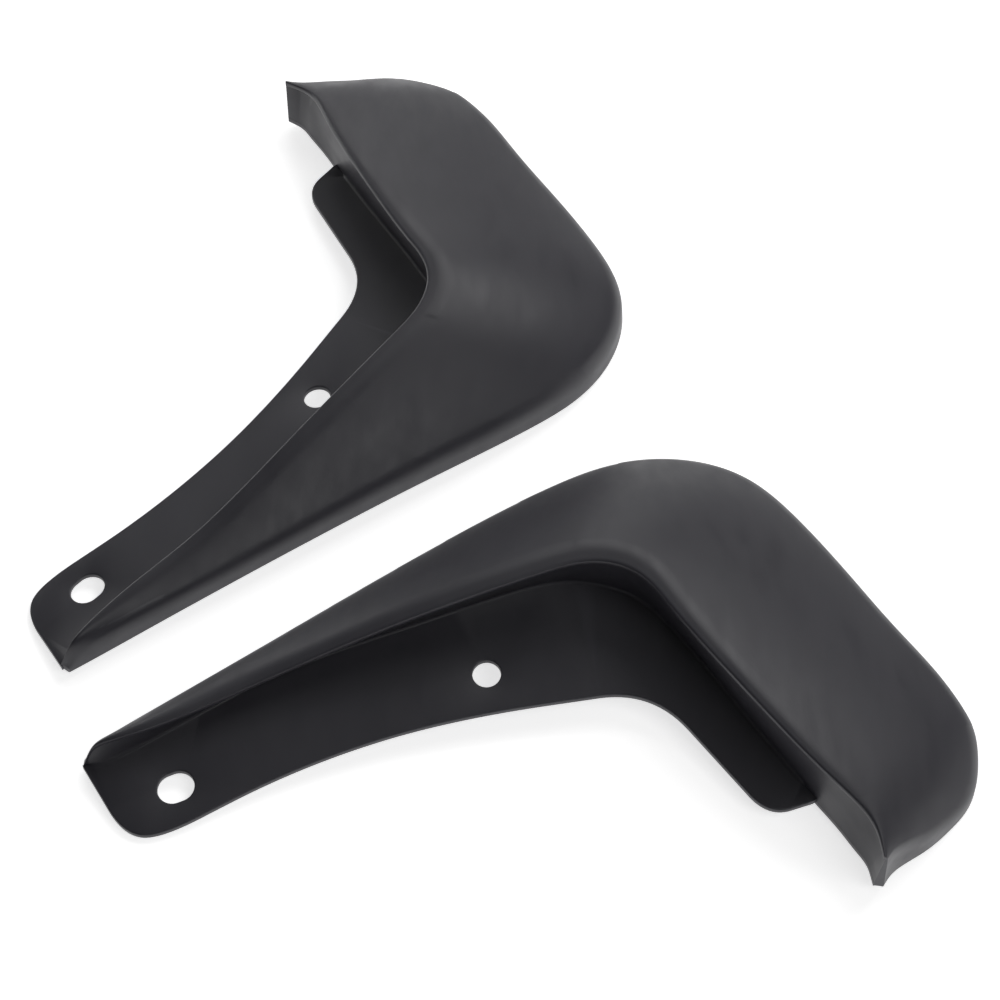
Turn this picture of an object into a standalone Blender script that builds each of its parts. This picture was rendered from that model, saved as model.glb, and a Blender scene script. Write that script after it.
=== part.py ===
"""A pair of moulded mud flaps, left and right, lying on a flat surface.

Each flap is one injection moulding: a crowned outer skin that ends in a turned-down
rim, a wall that drops from under the skin's free lip, and a flat fixing flange with a
round hole and a slotted hole.  Skin and wall are a closed loft through sections along
the flap, hollowed from below by a second loft.  At the wide end the loft narrows into
a small flared tab.  The flange is a flat outline with an extrusion, and a Boolean union
joins it to the loft.
The left flap is the mirror image of the right one.
"""
import math

import bmesh
import bpy
import numpy as np
from mathutils import Matrix, Vector

MM = 0.001

# ---- driving dimensions, millimetres, in the right flap's own frame -----------------
SKIN_THICKNESS = 2.4
WALL_THICKNESS = 2.2
LIP_THICKNESS = 2.0
FLANGE_THICKNESS = 2.2

ROUND_HOLE = (-4.2, -71.0)
ROUND_HOLE_RADIUS = 4.5
SLOT_HOLE = (-99.8, -107.6)
SLOT_HOLE_RADIUS = 4.9
SLOT_TRAVEL = 0.9
ARM_ANGLE = math.radians(21.5)

# The flange's upper face is a plane: its level at the slot and its slopes along x and y.
FLANGE_LEVEL = 4.8
FLANGE_SLOPE_X = 0.0155
FLANGE_SLOPE_Y = 0.134

# Guide curves: stations run from the arm's tip (0) along the arm, round the corner
# (4 to 6), down the wide leg and round its end to the flared tab (10).
# The first value of a row is its station.  LIP is the skin's free edge (x, y, z), RIM its
# outer edge (x, y), RIM_FOOT the rim's height, SHOULDER the height where the slope turns
# down into the rim, STRIP the width of the raised strip along the lip, and CREASE the
# line (x, y) where the wall meets the flange.
LIP = [(0.0, -128.8, -101.0, 5.4), (0.45, -125.2, -98.8, 13.2), (1.0, -116.4, -96.4, 16.1),
       (1.5, -98.3, -89.9, 17.6), (2.0, -77.3, -80.7, 19.8), (3.0, -31.0, -63.7, 30.0), (4.0, 12.0, -49.9, 36.8),
       (4.5, 25.5, -46.7, 38.2), (5.0, 37.2, -48.2, 38.8), (5.5, 46.0, -54.4, 38.8),
       (6.0, 53.0, -63.8, 38.0), (7.0, 74.0, -90.3, 34.9), (8.0, 93.0, -111.4, 30.2),
       (9.0, 106.5, -124.5, 26.2), (9.5, 110.4, -130.0, 24.8), (9.8, 112.0, -135.0, 24.0),
       (10.0, 112.8, -140.4, 23.4)]
RIM = [(0.0, -128.7, -97.8), (1.0, -114.4, -88.0), (2.0, -74.4, -61.1), (3.0, -23.8, -27.2),
       (4.0, 17.8, -0.2), (4.5, 38.2, 9.5), (5.0, 61.0, 12.3), (5.5, 82.8, 5.3), (6.0, 99.8, -12.1),
       (7.0, 124.2, -47.9), (8.0, 140.0, -70.2), (8.5, 146.4, -82.1), (9.0, 148.6, -96.5),
       (9.3, 145.2, -111.2), (9.55, 137.2, -121.4), (9.75, 127.8, -129.5), (9.9, 118.6, -136.2),
       (10.0, 115.0, -141.2)]
RIM_FOOT = [(0.0, 2.6), (1.0, 3.7), (2.0, 6.2), (3.0, 7.0), (4.0, 4.7), (5.0, 1.8), (6.0, 0.4),
            (8.0, 0.0), (9.0, 0.5), (9.75, 2.6), (10.0, 4.6)]
SHOULDER = [(0.0, 5.0), (1.0, 11.2), (2.0, 14.2), (3.0, 16.3), (4.0, 15.1), (5.0, 12.3),
            (6.0, 11.1), (8.0, 9.6), (9.0, 7.4), (9.3, 7.6), (9.55, 9.8), (9.75, 14.8),
            (9.9, 20.4), (10.0, 22.8)]
STRIP = [(0.0, 0.2), (1.0, 2.2), (2.0, 4.2), (3.0, 5.6), (4.0, 6.4), (5.0, 6.4), (6.0, 4.8),
         (7.0, 3.6), (9.0, 2.2), (10.0, 0.6)]
CREASE = [(0.0, -128.4, -100.2), (1.0, -114.4, -96.4), (2.0, -74.5, -71.5), (3.0, -29.3, -54.0),
          (4.0, 8.8, -41.0), (4.5, 22.4, -39.3), (5.0, 35.8, -41.8), (5.5, 46.3, -47.3),
          (6.0, 56.3, -57.7), (7.0, 75.2, -83.4), (8.0, 91.9, -106.4), (9.0, 103.4, -122.6),
          (9.5, 107.8, -129.6), (9.8, 110.7, -134.8), (10.0, 111.9, -140.2)]

# Shape of a section: the strip's rise, the bends' sizes, the slope's crown as a share of
# its length, the rim's lean and how far the wall stands back from the lip.
STRIP_RISE = 0.16
STRIP_WIDEST_SHARE = 0.35
RIDGE_ROUND = 3.4
SHOULDER_ROUND = 5.0
SHOULDER_BELOW_LIP = 0.4
CROWN = 0.035
SIDE_DRAFT = 0.06
WALL_SETBACK = 2.2
SETBACK_WIDEST_SHARE = 0.2
LIP_TALLEST_SHARE = 0.4
WALL_FOOT_DEPTH = 0.8 * FLANGE_THICKNESS
WALL_END_FOOT = 3.6
WALL_END_STATIONS = (8.0, 8.4)

# The hollow under the skin: its open bottom, and the least room it keeps where the
# flap gets narrow or low.
CAVITY_FLOOR = -12.0
CAVITY_TOP_WIDTH = 1.0
CAVITY_FOOT_WIDTH = 0.6
CAVITY_LEAST_HEIGHT = 0.5

# Flange outline: corner points with the radius that rounds each one.  The other side
# follows the crease between two stations and bites a little into the wall.
FLANGE_OUTLINE = [(-129.2, -100.4, 0.4), (-115.4, -121.9, 9.0), (-104.3, -123.8, 14.0),
                  (-62.5, -101.0, 60.0), (-16.5, -85.7, 120.0), (47.7, -76.3, 17.0),
                  (81.9, -118.1, 9.0), (96.6, -113.4, 3.0), (98.6, -110.8, 0.4)]
CREASE_SIDE_STATIONS = np.linspace(8.3, 0.4, 16)
PLATE_BITE = 1.2

# Where the left flap lies beside the right one: turned about the vertical, then moved.
PAIR_TURN = math.radians(-113.63)
PAIR_SHIFT = (4.6, 12.9)

PLASTIC_COLOUR = (0.030, 0.030, 0.033, 1.0)
PLASTIC_ROUGHNESS = 0.5

# ---- fineness of the meshes ----------------------------------------------------------
BODY_STATIONS = np.concatenate([np.linspace(0.0, 9.0, 40), np.linspace(9.1, 10.0, 10)])
CAVITY_STATIONS = np.concatenate([np.linspace(1.0, 9.4, 37), np.linspace(9.55, 9.85, 4)])
STRIP_STEPS = 2
RIDGE_STEPS = 3
SLOPE_STEPS = 6
SHOULDER_STEPS = 3
SIDE_STEPS = 2
WALL_STEPS = 3
ROOF_STEPS = 8
CORNER_STEPS = 6
HOLE_SIDES = 32
SHARP_ANGLE = math.radians(35)
WELD = 1e-6


# ---- curves --------------------------------------------------------------------------
def guide(knots, station):
    """Smooth curve through the knots (first value of a knot is its station)."""
    table = np.array(knots)
    t = table[:, 0]
    values = table[:, 1:]
    slopes = np.gradient(values, t, axis=0)
    k = int(np.clip(np.searchsorted(t, station) - 1, 0, len(t) - 2))
    width = t[k + 1] - t[k]
    s = (station - t[k]) / width
    h00 = 2 * s**3 - 3 * s**2 + 1
    h10 = s**3 - 2 * s**2 + s
    h01 = -2 * s**3 + 3 * s**2
    h11 = s**3 - s**2
    return (h00 * values[k] + h10 * width * slopes[k]
            + h01 * values[k + 1] + h11 * width * slopes[k + 1])


def rounded(before, corner, after, reach, steps):
    """Points of a smooth bend that replaces a corner of a path."""
    corner = np.array(corner, float)
    arm_in = np.array(before, float) - corner
    arm_out = np.array(after, float) - corner
    cut_in = min(reach, 0.49 * np.linalg.norm(arm_in))
    cut_out = min(reach, 0.49 * np.linalg.norm(arm_out))
    start = corner + arm_in / np.linalg.norm(arm_in) * cut_in
    end = corner + arm_out / np.linalg.norm(arm_out) * cut_out
    s = np.linspace(0.0, 1.0, steps + 1)[:, None]
    return (1 - s)**2 * start + 2 * s * (1 - s) * corner + s**2 * end


def flange_height(x, y):
    """Height of the flange's upper face."""
    return (FLANGE_LEVEL + FLANGE_SLOPE_X * (x - SLOT_HOLE[0])
            + FLANGE_SLOPE_Y * (y - SLOT_HOLE[1]))


# ---- section profiles ----------------------------------------------------------------
# A section is drawn in its own upright plane: h runs outward from the lip, z runs up.
def section_frame(station):
    """The lip's point, the outward direction and the distance to the rim."""
    lip = guide(LIP, station)
    across = guide(RIM, station) - lip[:2]
    reach = float(np.linalg.norm(across))
    return lip, across / reach, reach


def in_space(station, points):
    lip, outward, _ = section_frame(station)
    return [Vector((lip[0] + outward[0] * h, lip[1] + outward[1] * h, z)) * MM for h, z in points]


def skin_profile(station):
    """Outer face of the skin: strip, ridge, crowned slope, shoulder and rim side."""
    lip, _, reach = section_frame(station)
    foot = float(guide(RIM_FOOT, station)[0])
    shoulder = min(float(guide(SHOULDER, station)[0]), lip[2] - SHOULDER_BELOW_LIP)
    strip = min(float(guide(STRIP, station)[0]), STRIP_WIDEST_SHARE * reach)
    edge = np.array((0.0, lip[2]))
    ridge = np.array((strip, lip[2] + STRIP_RISE * strip))
    brow = np.array((reach - SIDE_DRAFT * (shoulder - foot), shoulder))
    toe = np.array((reach, foot))
    ridge_bend = rounded(edge, ridge, brow, RIDGE_ROUND, RIDGE_STEPS)
    brow_bend = rounded(ridge, brow, toe, SHOULDER_ROUND, SHOULDER_STEPS)
    strip_run = ridge_bend[0] - edge
    slope = brow_bend[0] - ridge_bend[-1]
    bulge = CROWN * np.array((-slope[1], slope[0]))
    side = toe - brow_bend[-1]
    points = [edge + strip_run * k / STRIP_STEPS for k in range(STRIP_STEPS)]
    points += list(ridge_bend)
    for k in range(1, SLOPE_STEPS):
        s = k / SLOPE_STEPS
        points.append(ridge_bend[-1] + slope * s + bulge * 4 * s * (1 - s))
    points += list(brow_bend)
    points += [brow_bend[-1] + side * k / SIDE_STEPS for k in range(1, SIDE_STEPS + 1)]
    return points


def roof_height(outer, h):
    """Highest level inside the skin at h: below every outer facet by the skin's thickness."""
    levels = []
    for p, q in zip(outer[:-1], outer[1:]):
        run = q - p
        if run[0] > WELD:
            drop = SKIN_THICKNESS * np.linalg.norm(run) / run[0]
            levels.append(p[1] + (h - p[0]) * run[1] / run[0] - drop)
    return min(levels)


def wall_foot(station):
    """Foot of the wall's outer face: a little inside the flange, lower past its end."""
    x, y = guide(CREASE, station)
    start, end = WALL_END_STATIONS
    past = min(max((station - start) / (end - start), 0.0), 1.0)
    in_flange = flange_height(x, y) - WALL_FOOT_DEPTH
    return x, y, in_flange + (WALL_END_FOOT - in_flange) * past


def body_section(station):
    """Closed section of the flap before it is hollowed: skin, foot line and wall face."""
    lip, _, reach = section_frame(station)
    foot = wall_foot(station)
    under = lip[2] - min(LIP_THICKNESS, LIP_TALLEST_SHARE * (lip[2] - foot[2]))
    setback = min(WALL_SETBACK, SETBACK_WIDEST_SHARE * reach)
    wall_top, lip_under = in_space(station, [(setback, under), (0.0, under)])
    wall_base = Vector(foot) * MM
    wall = [wall_base.lerp(wall_top, k / WALL_STEPS) for k in range(WALL_STEPS + 1)]
    return in_space(station, skin_profile(station)) + wall + [lip_under]


def cavity_section(station):
    """Closed section of the hollow between wall and skin, open below the rim."""
    outer = skin_profile(station)
    lip, outward, reach = section_frame(station)
    foot = wall_foot(station)
    foot_h = float((foot[0] - lip[0]) * outward[0] + (foot[1] - lip[1]) * outward[1])
    side = reach - SKIN_THICKNESS
    back_top = min(WALL_SETBACK + WALL_THICKNESS, side - CAVITY_TOP_WIDTH)
    back_foot = min(foot_h + WALL_THICKNESS, side - CAVITY_FOOT_WIDTH)
    sill_fall = (foot[2] - outer[-1][1]) / (side - back_foot)
    roof = []
    for k in range(ROOF_STEPS + 1):
        h = back_top + (side - back_top) * math.sin(0.5 * math.pi * k / ROOF_STEPS)
        sill = foot[2] - sill_fall * max(h - back_foot, 0.0)
        roof.append((h, max(roof_height(outer, h), sill + CAVITY_LEAST_HEIGHT)))
    walls = [(side, CAVITY_FLOOR), (back_foot, CAVITY_FLOOR), (back_foot, foot[2])]
    return in_space(station, roof + walls)


# ---- mesh helpers --------------------------------------------------------------------
def loft(name, sections, collection):
    """Closed body through closed sections that all have the same number of points."""
    around = len(sections[0])
    verts = [tuple(p) for section in sections for p in section]
    faces = []
    for r in range(len(sections) - 1):
        for c in range(around):
            a = r * around + c
            b = r * around + (c + 1) % around
            faces.append((a, b, b + around, a + around))
    faces.append(tuple(range(around))[::-1])
    faces.append(tuple(range((len(sections) - 1) * around, len(sections) * around)))
    mesh = bpy.data.meshes.new(name)
    mesh.from_pydata(verts, [], faces)
    work = bmesh.new()
    work.from_mesh(mesh)
    bmesh.ops.recalc_face_normals(work, faces=work.faces)
    work.to_mesh(mesh)
    work.free()
    obj = bpy.data.objects.new(name, mesh)
    collection.objects.link(obj)
    return obj


def boolean(obj, tool, operation):
    mod = obj.modifiers.new(operation.title() + " " + tool.name, 'BOOLEAN')
    mod.operation = operation
    mod.object = tool
    mod.solver = 'EXACT'


def evaluated_mesh(obj):
    graph = bpy.context.evaluated_depsgraph_get()
    graph.update()
    return bpy.data.meshes.new_from_object(obj.evaluated_get(graph))


def make_tool(obj):
    obj.hide_render = True
    obj.display_type = 'WIRE'


# ---- the flap ------------------------------------------------------------------------
def outline_points():
    """Flange outline with every corner rounded, closed along the crease."""
    crease_side = []
    for station in CREASE_SIDE_STATIONS:
        outward = section_frame(station)[1]
        crease_side.append(guide(CREASE, station) + outward * PLATE_BITE)
    corners = [np.array(row[:2]) for row in FLANGE_OUTLINE]
    loop = corners + crease_side
    points = []
    for k, row in enumerate(FLANGE_OUTLINE):
        points += list(rounded(loop[k - 1], loop[k], loop[k + 1], row[2], CORNER_STEPS))
    return points + crease_side


def flange_plate(collection):
    """Plate cut to the flange outline, laid in the flange's plane."""
    curve = bpy.data.curves.new("flange_outline", 'CURVE')
    curve.dimensions = '2D'
    curve.fill_mode = 'BOTH'
    curve.extrude = 0.5 * FLANGE_THICKNESS * MM
    points = outline_points()
    spline = curve.splines.new('POLY')
    spline.points.add(len(points) - 1)
    for point, (x, y) in zip(spline.points, points):
        point.co = (x * MM, y * MM, 0.0, 1.0)
    spline.use_cyclic_u = True
    flat = bpy.data.objects.new("flange_outline", curve)
    collection.objects.link(flat)
    mesh = evaluated_mesh(flat)
    bpy.data.objects.remove(flat)
    work = bmesh.new()
    work.from_mesh(mesh)
    bmesh.ops.remove_doubles(work, verts=work.verts, dist=WELD)
    for vert in work.verts:
        level = flange_height(vert.co.x / MM, vert.co.y / MM) - 0.5 * FLANGE_THICKNESS
        vert.co.z += level * MM
    bmesh.ops.recalc_face_normals(work, faces=work.faces)
    work.to_mesh(mesh)
    work.free()
    plate = bpy.data.objects.new("flange_plate", mesh)
    collection.objects.link(plate)
    make_tool(plate)
    return plate


def hole_cutter(name, centre, radius, travel, collection):
    """Drill for a round hole, or for a slot along the arm when it has travel."""
    work = bmesh.new()
    bmesh.ops.create_cone(work, cap_ends=True, segments=HOLE_SIDES, radius1=radius * MM,
                          radius2=radius * MM, depth=8 * FLANGE_THICKNESS * MM)
    for vert in work.verts:
        if abs(vert.co.x) > WELD:
            vert.co.x += math.copysign(travel * MM, vert.co.x)
    mesh = bpy.data.meshes.new(name)
    work.to_mesh(mesh)
    work.free()
    cutter = bpy.data.objects.new(name, mesh)
    place = Matrix.Translation(Vector((*centre, flange_height(*centre))) * MM)
    cutter.matrix_world = place @ Matrix.Rotation(ARM_ANGLE, 4, 'Z')
    collection.objects.link(cutter)
    make_tool(cutter)
    return cutter


def build_right_flap(parts, tools):
    flap = loft("right_mud_flap", [body_section(t) for t in BODY_STATIONS], parts)
    cavity = loft("cavity", [cavity_section(t) for t in CAVITY_STATIONS], tools)
    make_tool(cavity)
    round_hole = hole_cutter("round_hole", ROUND_HOLE, ROUND_HOLE_RADIUS, 0.0, tools)
    slot_hole = hole_cutter("slot_hole", SLOT_HOLE, SLOT_HOLE_RADIUS, SLOT_TRAVEL, tools)
    boolean(flap, cavity, 'DIFFERENCE')
    boolean(flap, flange_plate(tools), 'UNION')
    boolean(flap, round_hole, 'DIFFERENCE')
    boolean(flap, slot_hole, 'DIFFERENCE')
    return flap


def left_from_right(right, parts):
    """The left flap: the right flap's finished mesh, mirrored."""
    mesh = evaluated_mesh(right)
    work = bmesh.new()
    work.from_mesh(mesh)
    bmesh.ops.scale(work, vec=(-1.0, 1.0, 1.0), verts=work.verts)
    bmesh.ops.reverse_faces(work, faces=work.faces)
    work.to_mesh(mesh)
    work.free()
    left = bpy.data.objects.new("left_mud_flap", mesh)
    parts.objects.link(left)
    return left


def moulded_plastic(name):
    material = bpy.data.materials.new(name)
    material.use_nodes = True
    shader = material.node_tree.nodes["Principled BSDF"]
    shader.inputs["Base Color"].default_value = PLASTIC_COLOUR
    shader.inputs["Roughness"].default_value = PLASTIC_ROUGHNESS
    shader.inputs["Metallic"].default_value = 0.0
    return material


def centre_pair(flaps, holder):
    """Put the origin under the middle of the pair, at the level the flaps lie on."""
    bpy.context.view_layer.update()
    corners = []
    for flap in flaps:
        mesh = evaluated_mesh(flap)
        corners += [flap.matrix_world @ vert.co for vert in mesh.vertices]
        bpy.data.meshes.remove(mesh)
    low = Vector([min(c[axis] for c in corners) for axis in range(3)])
    high = Vector([max(c[axis] for c in corners) for axis in range(3)])
    holder.location = (-0.5 * (low.x + high.x), -0.5 * (low.y + high.y), -low.z)


def main():
    for obj in list(bpy.data.objects):
        bpy.data.objects.remove(obj, do_unlink=True)
    parts = bpy.data.collections.new("mud_flaps")
    tools = bpy.data.collections.new("tools")
    bpy.context.scene.collection.children.link(parts)
    bpy.context.scene.collection.children.link(tools)
    holder = bpy.data.objects.new("pair", None)
    parts.objects.link(holder)
    right = build_right_flap(parts, tools)
    left = left_from_right(right, parts)
    left.location = (PAIR_SHIFT[0] * MM, PAIR_SHIFT[1] * MM, 0.0)
    left.rotation_euler = (0.0, 0.0, PAIR_TURN)
    for flap in (right, left):
        flap.data.materials.append(moulded_plastic(flap.name + "_plastic"))
    for obj in list(tools.objects) + [right, left]:
        obj.parent = holder
    centre_pair((right, left), holder)
    for flap in (right, left):
        flap.data.shade_smooth()
        flap.data.set_sharp_from_angle(angle=SHARP_ANGLE)


main()
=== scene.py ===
"""Looks of the mud flap pair: fine mouldings in grained plastic, soft studio light."""
import math

import bmesh
import bpy
import numpy as np
from mathutils import Matrix, Vector

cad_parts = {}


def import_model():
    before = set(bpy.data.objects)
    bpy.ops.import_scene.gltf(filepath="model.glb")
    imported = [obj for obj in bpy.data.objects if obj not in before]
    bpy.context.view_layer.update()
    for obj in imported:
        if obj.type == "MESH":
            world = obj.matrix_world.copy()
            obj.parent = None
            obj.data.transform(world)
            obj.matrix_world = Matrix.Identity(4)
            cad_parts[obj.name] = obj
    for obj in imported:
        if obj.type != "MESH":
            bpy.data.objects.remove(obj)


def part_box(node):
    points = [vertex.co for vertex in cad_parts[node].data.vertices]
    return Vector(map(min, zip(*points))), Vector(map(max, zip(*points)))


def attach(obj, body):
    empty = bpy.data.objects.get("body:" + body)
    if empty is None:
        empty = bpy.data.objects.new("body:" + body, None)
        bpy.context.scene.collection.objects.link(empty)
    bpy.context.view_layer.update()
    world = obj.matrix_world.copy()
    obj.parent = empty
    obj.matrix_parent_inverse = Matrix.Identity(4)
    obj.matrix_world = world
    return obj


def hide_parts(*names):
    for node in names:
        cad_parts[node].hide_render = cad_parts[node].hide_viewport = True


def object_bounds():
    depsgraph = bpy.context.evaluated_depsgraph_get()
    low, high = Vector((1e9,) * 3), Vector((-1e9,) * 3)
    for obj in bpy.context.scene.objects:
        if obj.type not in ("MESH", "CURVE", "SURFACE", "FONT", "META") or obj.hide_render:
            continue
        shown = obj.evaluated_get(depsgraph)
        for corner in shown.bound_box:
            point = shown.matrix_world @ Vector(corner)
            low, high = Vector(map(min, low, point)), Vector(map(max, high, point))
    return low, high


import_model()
cad_low, cad_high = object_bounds()

MM = 0.001

# ---- the moulding, millimetres, in the right flap's own frame ------------------------
# These are the CAD model's driving dimensions, repeated.
SKIN_THICKNESS = 2.4
WALL_THICKNESS = 2.2
LIP_THICKNESS = 2.0
FLANGE_THICKNESS = 2.2

ROUND_HOLE = (-4.2, -71.0)
ROUND_HOLE_RADIUS = 4.5
SLOT_HOLE = (-99.8, -107.6)
SLOT_HOLE_RADIUS = 4.9
SLOT_TRAVEL = 0.9
ARM_ANGLE = math.radians(21.5)

# The flange's upper face is a plane: its level at the slot and its slopes along x and y.
FLANGE_LEVEL = 4.8
FLANGE_SLOPE_X = 0.0155
FLANGE_SLOPE_Y = 0.134

# Guide curves along the flap.  The first value of a row is its station, from the arm's
# tip (0) round the corner (4 to 6) to the wide end (10).
LIP = [(0.0, -128.8, -101.0, 5.4), (0.45, -125.2, -98.8, 13.2), (1.0, -116.4, -96.4, 16.1),
       (1.5, -98.3, -89.9, 17.6), (2.0, -77.3, -80.7, 19.8), (3.0, -31.0, -63.7, 30.0), (4.0, 12.0, -49.9, 36.8),
       (4.5, 25.5, -46.7, 38.2), (5.0, 37.2, -48.2, 38.8), (5.5, 46.0, -54.4, 38.8),
       (6.0, 53.0, -63.8, 38.0), (7.0, 74.0, -90.3, 34.9), (8.0, 93.0, -111.4, 30.2),
       (9.0, 106.5, -124.5, 26.2), (9.5, 110.4, -130.0, 24.8), (9.8, 112.0, -135.0, 24.0),
       (10.0, 112.8, -140.4, 23.4)]
RIM = [(0.0, -128.7, -97.8), (1.0, -114.4, -88.0), (2.0, -74.4, -61.1), (3.0, -23.8, -27.2),
       (4.0, 17.8, -0.2), (4.5, 38.2, 9.5), (5.0, 61.0, 12.3), (5.5, 82.8, 5.3), (6.0, 99.8, -12.1),
       (7.0, 124.2, -47.9), (8.0, 140.0, -70.2), (8.5, 146.4, -82.1), (9.0, 148.6, -96.5),
       (9.3, 145.2, -111.2), (9.55, 137.2, -121.4), (9.75, 127.8, -129.5), (9.9, 118.6, -136.2),
       (10.0, 115.0, -141.2)]
RIM_FOOT = [(0.0, 2.6), (1.0, 3.7), (2.0, 6.2), (3.0, 7.0), (4.0, 4.7), (5.0, 1.8), (6.0, 0.4),
            (8.0, 0.0), (9.0, 0.5), (9.75, 2.6), (10.0, 4.6)]
SHOULDER = [(0.0, 5.0), (1.0, 11.2), (2.0, 14.2), (3.0, 16.3), (4.0, 15.1), (5.0, 12.3),
            (6.0, 11.1), (8.0, 9.6), (9.0, 7.4), (9.3, 7.6), (9.55, 9.8), (9.75, 14.8),
            (9.9, 20.4), (10.0, 22.8)]
STRIP = [(0.0, 0.2), (1.0, 2.2), (2.0, 4.2), (3.0, 5.6), (4.0, 6.4), (5.0, 6.4), (6.0, 4.8),
         (7.0, 3.6), (9.0, 2.2), (10.0, 0.6)]
CREASE = [(0.0, -128.4, -100.2), (1.0, -114.4, -96.4), (2.0, -74.5, -71.5), (3.0, -29.3, -54.0),
          (4.0, 8.8, -41.0), (4.5, 22.4, -39.3), (5.0, 35.8, -41.8), (5.5, 46.3, -47.3),
          (6.0, 56.3, -57.7), (7.0, 75.2, -83.4), (8.0, 91.9, -106.4), (9.0, 103.4, -122.6),
          (9.5, 107.8, -129.6), (9.8, 110.7, -134.8), (10.0, 111.9, -140.2)]

STRIP_RISE = 0.16
STRIP_WIDEST_SHARE = 0.35
RIDGE_ROUND = 3.4
SHOULDER_ROUND = 5.0
SHOULDER_BELOW_LIP = 0.4
CROWN = 0.035
SIDE_DRAFT = 0.06
WALL_SETBACK = 2.2
SETBACK_WIDEST_SHARE = 0.2
LIP_TALLEST_SHARE = 0.4
WALL_FOOT_DEPTH = 0.8 * FLANGE_THICKNESS
WALL_END_FOOT = 3.6
WALL_END_STATIONS = (8.0, 8.4)

FLANGE_OUTLINE = [(-129.2, -100.4, 0.4), (-115.4, -121.9, 9.0), (-104.3, -123.8, 14.0),
                  (-62.5, -101.0, 60.0), (-16.5, -85.7, 120.0), (47.7, -76.3, 17.0),
                  (81.9, -118.1, 9.0), (96.6, -113.4, 3.0), (98.6, -110.8, 0.4)]
CREASE_SIDE_STATIONS = np.linspace(8.3, 0.4, 40)
PLATE_BITE = 1.2

PAIR_TURN = math.radians(-113.63)
PAIR_SHIFT = (4.6, 12.9, 0.0)

# Lowest corner of the right flap's box, in its own frame.
RIGHT_FLAP_LOW = Vector((-129.06, -141.20, -0.13))

# ---- what the fine mesh adds: rounded edges and a fillet at the wall's foot ----------
LIP_ROUND = 0.9
TOE_ROUND = 0.9
INNER_TOE_ROUND = 0.7
FILLET = 1.6
FILLET_LEAST = 0.05
FILLET_HEIGHT_SHARE = 0.3
FILLET_SINK = 0.12
FILLET_END = (7.9, 8.25)
HOLLOW_START = (1.0, 1.2)
HOLLOW_END = (9.74, 9.86)
FOOT_SHARE = 0.3
PLATE_ROUND = 0.45
CORNER_STEPS = 14
HOLE_SIDES = 96
EDGE_STEPS = 4

STATIONS = np.concatenate([np.linspace(0.0, 1.2, 49), np.linspace(1.2, 9.0, 313)[1:],
                           np.linspace(9.0, 10.0, 61)[1:]])
SHARP_ANGLE = math.radians(38)

drawing_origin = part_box("right_mud_flap")[0] - RIGHT_FLAP_LOW * MM
pair_at = Matrix.Translation(drawing_origin)


# ---- curves --------------------------------------------------------------------------
def smooth_guide(knots):
    """Natural cubic spline through the knots, as a function of the station."""
    table = np.array(knots)
    t = table[:, 0]
    values = table[:, 1:]
    gap = np.diff(t)
    system = np.eye(len(t))
    pull = np.zeros_like(values)
    for k in range(1, len(t) - 1):
        system[k, k - 1:k + 2] = (gap[k - 1], 2 * (gap[k - 1] + gap[k]), gap[k])
        pull[k] = 6 * ((values[k + 1] - values[k]) / gap[k]
                       - (values[k] - values[k - 1]) / gap[k - 1])
    bend = np.linalg.solve(system, pull)

    def at(station):
        k = int(np.clip(np.searchsorted(t, station) - 1, 0, len(t) - 2))
        a = (t[k + 1] - station) / gap[k]
        b = 1.0 - a
        return (a * values[k] + b * values[k + 1]
                + ((a**3 - a) * bend[k] + (b**3 - b) * bend[k + 1]) * gap[k]**2 / 6)
    return at


lip_at = smooth_guide(LIP)
rim_at = smooth_guide(RIM)
rim_foot_at = smooth_guide(RIM_FOOT)
shoulder_at = smooth_guide(SHOULDER)
strip_at = smooth_guide(STRIP)
crease_at = smooth_guide(CREASE)


def bezier(start, control, end, s):
    return (1 - s)**2 * start + 2 * s * (1 - s) * control + s**2 * end


def toward(point, target, distance):
    """The point moved towards a target, at most almost half of the way."""
    run = target - point
    length = np.linalg.norm(run)
    return point + run / length * min(distance, 0.49 * length)


def rounded(before, corner, after, reach, steps):
    """Points of a smooth bend that replaces a corner of a path."""
    start = toward(corner, before, reach)
    end = toward(corner, after, reach)
    return [bezier(start, corner, end, k / steps) for k in range(steps + 1)]


def between(start, end, steps):
    """The inner points of a straight run."""
    return [start + (end - start) * k / steps for k in range(1, steps)]


def ease(value, low, high):
    """Smooth step from 0 at low to 1 at high."""
    s = min(max((value - low) / (high - low), 0.0), 1.0)
    return s * s * (3 - 2 * s)


def meeting(p, along_p, q, along_q):
    """Where two lines of a section meet."""
    u = np.linalg.solve(np.array((along_p, -along_q)).T, q - p)
    return p + along_p * u[0]


def flange_height(x, y):
    """Height of the flange's upper face."""
    return (FLANGE_LEVEL + FLANGE_SLOPE_X * (x - SLOT_HOLE[0])
            + FLANGE_SLOPE_Y * (y - SLOT_HOLE[1]))


# ---- one section of the moulding -----------------------------------------------------
def crowned_slope(ridge, brow, steps):
    """Slope from ridge to brow as a shallow arch, with its tangent."""
    run = brow - ridge
    middle = 0.5 * (ridge + brow) + 2 * CROWN * np.array((-run[1], run[0]))
    points = [bezier(ridge, middle, brow, k / steps) for k in range(steps + 1)]
    leaving = [2 * (1 - k / steps) * (middle - ridge) + 2 * k / steps * (brow - middle)
               for k in range(steps + 1)]
    return points, leaving


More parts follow.
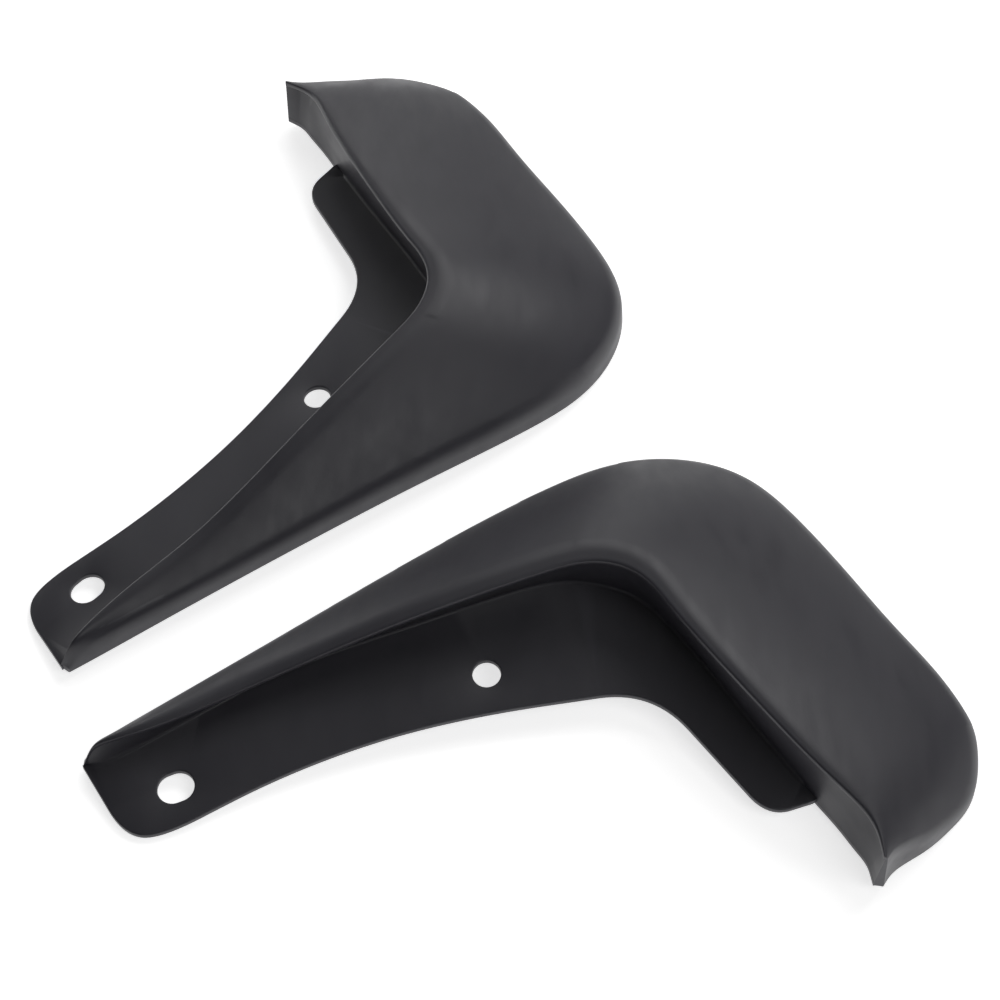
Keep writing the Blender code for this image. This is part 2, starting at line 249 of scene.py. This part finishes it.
def skin_profile(station, lip_z, reach, under):
    """Outer face in the section's plane (outward, up), from the lip's edge to the toe."""
    foot = float(rim_foot_at(station)[0])
    shoulder = min(float(shoulder_at(station)[0]), lip_z - SHOULDER_BELOW_LIP)
    strip = min(float(strip_at(station)[0]), STRIP_WIDEST_SHARE * reach)
    edge = np.array((0.0, lip_z))
    edge_under = np.array((0.0, under))
    ridge = np.array((strip, lip_z + STRIP_RISE * strip))
    brow = np.array((reach - SIDE_DRAFT * (shoulder - foot), shoulder))
    toe = np.array((reach, foot))
    steps = 40
    slope, heading = crowned_slope(ridge, brow, steps)
    length = np.linalg.norm(brow - ridge)
    first = max(1, round(steps * min(RIDGE_ROUND / length, 0.3)))
    last = steps - max(1, round(steps * min(SHOULDER_ROUND / length, 0.3)))
    nose = rounded(edge_under, edge, ridge, LIP_ROUND, EDGE_STEPS)
    strip_end = toward(ridge, edge, RIDGE_ROUND)
    turn = meeting(edge, ridge - edge, slope[first], heading[first])
    ridge_bend = [bezier(strip_end, turn, slope[first], k / 10) for k in range(11)]
    side_start = toward(brow, toe, SHOULDER_ROUND)
    turn = meeting(brow, toe - brow, slope[last], heading[last])
    brow_bend = [bezier(slope[last], turn, side_start, k / 12) for k in range(13)]
    picks = np.linspace(first, last, 19)[1:-1]
    middle = [crowned_at(ridge, brow, pick / steps) for pick in picks]
    toe_bend = rounded(brow, toe, np.array((reach - SKIN_THICKNESS, foot)), TOE_ROUND, EDGE_STEPS)
    return (nose + between(nose[-1], strip_end, 4) + ridge_bend + middle + brow_bend
            + between(side_start, toe_bend[0], 4) + toe_bend)


def crowned_at(ridge, brow, s):
    run = brow - ridge
    middle = 0.5 * (ridge + brow) + 2 * CROWN * np.array((-run[1], run[0]))
    return bezier(ridge, middle, brow, s)


def roof_height(outer, h):
    """Highest level inside the skin at h: below the outer face by the skin's thickness."""
    levels = []
    for p, q in zip(outer[:-1], outer[1:]):
        run = q - p
        if run[0] > 1e-3:
            drop = SKIN_THICKNESS * np.linalg.norm(run) / run[0]
            levels.append(p[1] + (h - p[0]) * run[1] / run[0] - drop)
    return min(levels)


def flap_section(station):
    """Closed loop of points round skin, hollow, wall foot, wall and lip."""
    lip = lip_at(station)
    across = rim_at(station) - lip[:2]
    reach = float(np.linalg.norm(across))
    outward = across / reach

    def in_space(point):
        h, z = point
        return np.array((lip[0] + outward[0] * h, lip[1] + outward[1] * h, z))

    crease = crease_at(station)
    in_flange = flange_height(*crease) - WALL_FOOT_DEPTH
    foot_z = in_flange + (WALL_END_FOOT - in_flange) * ease(station, *WALL_END_STATIONS)
    foot_h = float((crease - lip[:2]) @ outward)
    under = lip[2] - min(LIP_THICKNESS, LIP_TALLEST_SHARE * (lip[2] - foot_z))
    outer = skin_profile(station, lip[2], reach, under)
    skin = [in_space(p) for p in outer]

    # Underside: toe, hollow, foot of the wall.
    toe = outer[-1]
    base = np.array((foot_h, foot_z))
    width = toe[0] - base[0]
    side_share = min(SKIN_THICKNESS / width, FOOT_SHARE)
    wall_share = min(WALL_THICKNESS / width, FOOT_SHARE)
    side = toe + (base - toe) * side_share
    back = base + (toe - base) * wall_share
    back_top = min(WALL_SETBACK + WALL_THICKNESS, side[0] - 1.0)
    roof = []
    for k in range(25):
        h = back_top + (side[0] - back_top) * math.cos(0.5 * math.pi * k / 24)
        sill = back[1] + (side[1] - back[1]) * max(h - back[0], 0.0) / (side[0] - back[0])
        roof.append(np.array((h, max(roof_height(outer, h), sill + 0.5))))
    rise = between(side, roof[0], 5)
    fall = between(roof[-1], back, 6)
    hollow = [side] + rise + roof + fall + [back]
    flat = [side + (back - side) * k / (len(hollow) - 1) for k in range(len(hollow))]
    depth = ease(station, *HOLLOW_START) * (1 - ease(station, *HOLLOW_END))
    inner = [in_space(q + (p - q) * depth) for p, q in zip(hollow, flat)]

    # Front of the wall, with a fillet where it meets the flange.
    foot = np.array((*crease, foot_z))
    top = in_space((min(WALL_SETBACK, SETBACK_WIDEST_SHARE * reach), under))
    share = min(WALL_FOOT_DEPTH / (top[2] - foot_z), 0.6)
    corner = foot + (top - foot) * share
    fillet = min(FILLET, FILLET_HEIGHT_SHARE * np.linalg.norm(top - corner))
    fillet = max(fillet * (1 - ease(station, *FILLET_END)), FILLET_LEAST)
    front = -np.array((*outward, FLANGE_SLOPE_X * outward[0] + FLANGE_SLOPE_Y * outward[1]))
    start = corner + front * fillet - np.array((0.0, 0.0, FILLET_SINK * fillet))
    end = corner + (top - corner) / np.linalg.norm(top - corner) * fillet
    bend = [bezier(start, corner, end, k / 6) for k in range(7)]
    low = start.copy()
    low[2] = min(foot_z, start[2] - 0.05)
    lip_under = rounded(top, in_space((0.0, under)), skin[0], LIP_ROUND, EDGE_STEPS)
    wall = [low] + bend + between(end, top, 12) + [top] + lip_under
    return skin + inner + wall


# ---- mesh helpers --------------------------------------------------------------------
def new_object(name, work):
    mesh = bpy.data.meshes.new(name)
    work.to_mesh(mesh)
    work.free()
    obj = bpy.data.objects.new(name, mesh)
    bpy.context.scene.collection.objects.link(obj)
    return obj


def loft(name, sections):
    """Closed body through closed sections that all have the same number of points."""
    around = len(sections[0])
    work = bmesh.new()
    rows = [[work.verts.new([c * MM for c in point]) for point in section]
            for section in sections]
    for row, following in zip(rows[:-1], rows[1:]):
        for c in range(around):
            d = (c + 1) % around
            work.faces.new((row[c], row[d], following[d], following[c]))
    for row in (rows[0], rows[-1]):
        edges = [work.edges.get((row[c], row[(c + 1) % around])) for c in range(around)]
        bmesh.ops.triangle_fill(work, use_beauty=True, edges=edges)
    bmesh.ops.recalc_face_normals(work, faces=work.faces)
    return new_object(name, work)


def apply_union(obj, tool):
    mod = obj.modifiers.new("Union", 'BOOLEAN')
    mod.operation = 'UNION'
    mod.object = tool
    mod.solver = 'EXACT'
    graph = bpy.context.evaluated_depsgraph_get()
    graph.update()
    mesh = bpy.data.meshes.new_from_object(obj.evaluated_get(graph))
    obj.modifiers.clear()
    obj.data = mesh
    bpy.data.objects.remove(tool)


# ---- the flange plate ----------------------------------------------------------------
def flange_outline():
    crease_side = []
    for station in CREASE_SIDE_STATIONS:
        lip = lip_at(station)[:2]
        across = rim_at(station) - lip
        crease_side.append(crease_at(station) + across / np.linalg.norm(across) * PLATE_BITE)
    loop = [np.array(row[:2]) for row in FLANGE_OUTLINE] + crease_side
    points = []
    for k, row in enumerate(FLANGE_OUTLINE):
        points += rounded(loop[k - 1], loop[k], loop[k + 1], row[2], CORNER_STEPS)
    points += crease_side
    return np.array(points)


def hole_outline(centre, radius, travel):
    """Round hole, or a slot along the arm when it has travel."""
    arm = np.array((math.cos(ARM_ANGLE), math.sin(ARM_ANGLE)))
    points = []
    for k in range(HOLE_SIDES):
        angle = 2 * math.pi * (k + 0.5) / HOLE_SIDES
        shift = math.copysign(travel, math.cos(angle))
        around = angle + ARM_ANGLE
        points.append(np.array(centre) + arm * shift
                      + radius * np.array((math.cos(around), math.sin(around))))
    return np.array(points)


def rounding_share(loop):
    """How much of the edge rounding a point gets: none where the plate runs into the wall."""
    tip = np.array(FLANGE_OUTLINE[0][:2])
    end = np.array(FLANGE_OUTLINE[-1][:2])
    crease = np.array([crease_at(t) for t in np.linspace(0.0, 8.3, 120)])
    share = []
    for point in loop:
        gap = min(np.linalg.norm(point - tip), np.linalg.norm(point - end),
                  np.min(np.linalg.norm(crease - point, axis=1)))
        share.append(ease(gap, 1.5, 4.5))
    return np.array(share)[:, None]


def inset(loop, distance):
    """The loop moved to its left side (inwards for a loop that runs anticlockwise)."""
    ahead = np.roll(loop, -1, axis=0) - loop
    behind = loop - np.roll(loop, 1, axis=0)
    heading = ahead / np.linalg.norm(ahead, axis=1)[:, None]
    heading = heading + behind / np.linalg.norm(behind, axis=1)[:, None]
    heading /= np.linalg.norm(heading, axis=1)[:, None]
    left = np.stack((-heading[:, 1], heading[:, 0]), axis=1)
    return loop + left * distance


def flange_plate():
    """Flat plate with rounded edges round its outline and both holes."""
    half = 0.5 * FLANGE_THICKNESS
    outline = flange_outline()
    area = 0.5 * np.sum(outline[:, 0] * np.roll(outline[:, 1], -1)
                        - np.roll(outline[:, 0], -1) * outline[:, 1])
    if area < 0:
        outline = outline[::-1]
    loops = [outline,
             hole_outline(ROUND_HOLE, ROUND_HOLE_RADIUS, 0.0)[::-1],
             hole_outline(SLOT_HOLE, SLOT_HOLE_RADIUS, SLOT_TRAVEL)[::-1]]
    angles = np.linspace(0.0, 0.5 * math.pi, EDGE_STEPS + 1)
    levels = [(PLATE_ROUND * (1 - math.sin(a)), half - PLATE_ROUND * (1 - math.cos(a)))
              for a in angles]
    levels += [(d, -z) for d, z in levels[::-1]]
    work = bmesh.new()
    rims = {0: [], len(levels) - 1: []}
    for loop in loops:
        rows = []
        share = rounding_share(loop)
        for distance, z in levels:
            ring = inset(loop, distance * share)
            rows.append([work.verts.new((x * MM, y * MM, (flange_height(x, y) - half + z) * MM))
                         for x, y in ring])
        for upper, lower in zip(rows[:-1], rows[1:]):
            for c in range(len(loop)):
                d = (c + 1) % len(loop)
                work.faces.new((upper[c], upper[d], lower[d], lower[c]))
        for k in rims:
            row = rows[k]
            rims[k] += [work.edges.get((row[c], row[(c + 1) % len(row)])) for c in range(len(row))]
    for edges in rims.values():
        bmesh.ops.triangle_fill(work, use_beauty=True, edges=edges)
    bmesh.ops.recalc_face_normals(work, faces=work.faces)
    return new_object("flange_plate", work)


# ---- the two flaps -------------------------------------------------------------------
def right_moulding():
    flap = loft("right_flap_moulding", [flap_section(t) for t in STATIONS])
    apply_union(flap, flange_plate())
    return flap


def mirrored(flap, name):
    work = bmesh.new()
    work.from_mesh(flap.data)
    bmesh.ops.scale(work, vec=(-1.0, 1.0, 1.0), verts=work.verts)
    bmesh.ops.reverse_faces(work, faces=work.faces)
    return new_object(name, work)


# ---- material ------------------------------------------------------------------------
# Moulded polypropylene: a fine etched grain, faint flow marks, and edges that have been rubbed a little
# smoother, with a painted highlight that makes them paler.  Noise scales are per metre.
PLASTIC_DARK = (0.0245, 0.0235, 0.0300, 1.0)
PLASTIC_LIGHT = (0.0335, 0.0325, 0.0410, 1.0)
# Paler colour for convex edges: partly rubbed wear, partly a painted edge highlight (sheen).
PLASTIC_RUBBED_AND_SHEEN = (0.049, 0.048, 0.058, 1.0)
MOTTLE_SCALE = 38.0
GRAIN_SCALE = 2400.0
GRAIN_DEPTH = 0.00004
GRAIN_STRENGTH = 0.35
FLOW_SCALE = 160.0
FLOW_STRETCH = (1.0, 0.25, 1.0)
ROUGHNESS = (0.40, 0.50)
RUBBED_ROUGHNESS = 0.36
# Convex-edge mask from pointiness. Its top value sets how far edges go towards the rubbed roughness and towards
# the paler colour of the painted edge highlight.
EDGE_POINTINESS = (0.52, 0.60)
EDGE_WEAR_AND_SHEEN = 0.5


def noise(tree, vector, scale, detail):
    node = tree.nodes.new("ShaderNodeTexNoise")
    node.inputs["Scale"].default_value = scale
    node.inputs["Detail"].default_value = detail
    tree.links.new(vector, node.inputs["Vector"])
    return node.outputs["Fac"]


def mapped(tree, value, from_range, to_range):
    node = tree.nodes.new("ShaderNodeMapRange")
    for name, number in zip(("From Min", "From Max", "To Min", "To Max"), from_range + to_range):
        node.inputs[name].default_value = number
    tree.links.new(value, node.inputs["Value"])
    return node.outputs["Result"]


def mixed(tree, kind, factor, first, second):
    """Mix node of the given kind; first and second are constants or other nodes' outputs."""
    node = tree.nodes.new("ShaderNodeMix")
    node.data_type = kind
    sockets = [socket for socket in node.inputs if socket.enabled]
    tree.links.new(factor, sockets[0])
    for socket, value in zip(sockets[1:], (first, second)):
        if isinstance(value, bpy.types.NodeSocket):
            tree.links.new(value, socket)
        else:
            socket.default_value = value
    return next(socket for socket in node.outputs if socket.enabled)


def moulded_plastic(name):
    material = bpy.data.materials.new(name)
    material.use_nodes = True
    tree = material.node_tree
    shader = tree.nodes["Principled BSDF"]
    place = tree.nodes.new("ShaderNodeTexCoord").outputs["Object"]
    stretch = tree.nodes.new("ShaderNodeMapping")
    stretch.inputs["Scale"].default_value = FLOW_STRETCH
    tree.links.new(place, stretch.inputs["Vector"])

    shape = tree.nodes.new("ShaderNodeNewGeometry")
    # Convex-edge mask: it smooths the roughness there and paints a paler highlight onto the edges.
    wear_and_sheen = mapped(tree, shape.outputs["Pointiness"], EDGE_POINTINESS, (0.0, EDGE_WEAR_AND_SHEEN))
    mottle = noise(tree, place, MOTTLE_SCALE, 4.0)
    colour = mixed(tree, 'RGBA', mottle, PLASTIC_DARK, PLASTIC_LIGHT)
    # Painted edge highlight: the base colour turns paler along convex edges.
    tree.links.new(mixed(tree, 'RGBA', wear_and_sheen, colour, PLASTIC_RUBBED_AND_SHEEN), shader.inputs["Base Color"])

    flow = noise(tree, stretch.outputs["Vector"], FLOW_SCALE, 3.0)
    roughness = mapped(tree, flow, (0.3, 0.7), ROUGHNESS)
    tree.links.new(mixed(tree, 'FLOAT', wear_and_sheen, roughness, RUBBED_ROUGHNESS),
                   shader.inputs["Roughness"])

    grain = tree.nodes.new("ShaderNodeBump")
    grain.inputs["Strength"].default_value = GRAIN_STRENGTH
    grain.inputs["Distance"].default_value = GRAIN_DEPTH
    tree.links.new(noise(tree, place, GRAIN_SCALE, 2.0), grain.inputs["Height"])
    tree.links.new(grain.outputs["Normal"], shader.inputs["Normal"])
    return material


# ---- stage, light and camera ---------------------------------------------------------
ELEVATION = math.radians(55.6)
CAMERA_DISTANCE = 0.8
FOCAL_LENGTH = 86.4
AIM = (0.0, 0.0, 3.83)


def camera():
    data = bpy.data.cameras.new("camera")
    data.lens = FOCAL_LENGTH
    data.sensor_width = 36.0
    data.dof.use_dof = False
    obj = bpy.data.objects.new("camera", data)
    bpy.context.scene.collection.objects.link(obj)
    back = Vector((0.0, -math.cos(ELEVATION), math.sin(ELEVATION)))
    obj.location = pair_at @ (Vector(AIM) * MM) + back * CAMERA_DISTANCE
    obj.rotation_euler = (-back).to_track_quat('-Z', 'Y').to_euler()
    bpy.context.scene.camera = obj


FLOOR_GLOW = 0.7
FLOOR_SIZE = 3.0

# Soft boxes round the pair: azimuth and elevation in degrees, watts.
LIGHTS = [(45, 50, 5.2), (135, 5, 4.2), (315, 50, 3.3), (90, 50, 2.7), (0, 5, 1.9), (90, 25, 1.7),
          (180, 75, 0.4)]
LIGHT_DISTANCE = 1.3
LIGHT_SIZE = 0.7


def floor():
    work = bmesh.new()
    bmesh.ops.create_grid(work, x_segments=1, y_segments=1, size=FLOOR_SIZE)
    obj = new_object("floor", work)
    obj.location.z = cad_low.z
    material = bpy.data.materials.new("floor_white")
    material.use_nodes = True
    shader = material.node_tree.nodes["Principled BSDF"]
    shader.inputs["Base Color"].default_value = (0.9, 0.9, 0.9, 1.0)
    shader.inputs["Roughness"].default_value = 0.9
    shader.inputs["Emission Color"].default_value = (1.0, 1.0, 1.0, 1.0)
    shader.inputs["Emission Strength"].default_value = FLOOR_GLOW
    obj.data.materials.append(material)


def lights():
    for azimuth, elevation, watts in LIGHTS:
        turn, rise = math.radians(azimuth), math.radians(elevation)
        toward_light = Vector((math.cos(turn) * math.cos(rise), math.sin(turn) * math.cos(rise),
                               math.sin(rise)))
        data = bpy.data.lights.new("soft_box", 'AREA')
        data.size = LIGHT_SIZE
        data.energy = watts
        obj = bpy.data.objects.new("soft_box", data)
        bpy.context.scene.collection.objects.link(obj)
        obj.location = toward_light * LIGHT_DISTANCE
        obj.rotation_euler = toward_light.to_track_quat('Z', 'Y').to_euler()


def world():
    scene_world = bpy.data.worlds.new("studio")
    bpy.context.scene.world = scene_world
    scene_world.use_nodes = True
    background = scene_world.node_tree.nodes["Background"]
    background.inputs["Color"].default_value = (1.0, 1.0, 1.0, 1.0)
    background.inputs["Strength"].default_value = 0.02


def main():
    right = right_moulding()
    left = mirrored(right, "left_flap_moulding")
    right.matrix_world = pair_at
    left.matrix_world = (pair_at @ Matrix.Translation(Vector(PAIR_SHIFT) * MM)
                         @ Matrix.Rotation(PAIR_TURN, 4, 'Z'))
    for flap, side in ((right, "right"), (left, "left")):
        flap.data.transform(flap.matrix_world)
        flap.matrix_world = Matrix.Identity(4)
        flap.data.materials.clear()
        flap.data.materials.append(moulded_plastic(side + "_flap_plastic"))
        flap.data.shade_smooth()
        flap.data.set_sharp_from_angle(angle=SHARP_ANGLE)
        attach(flap, side + "_flap")
        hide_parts(side + "_mud_flap")
    floor()
    lights()
    world()
    camera()
    bpy.context.scene.view_settings.view_transform = 'Standard'


main()
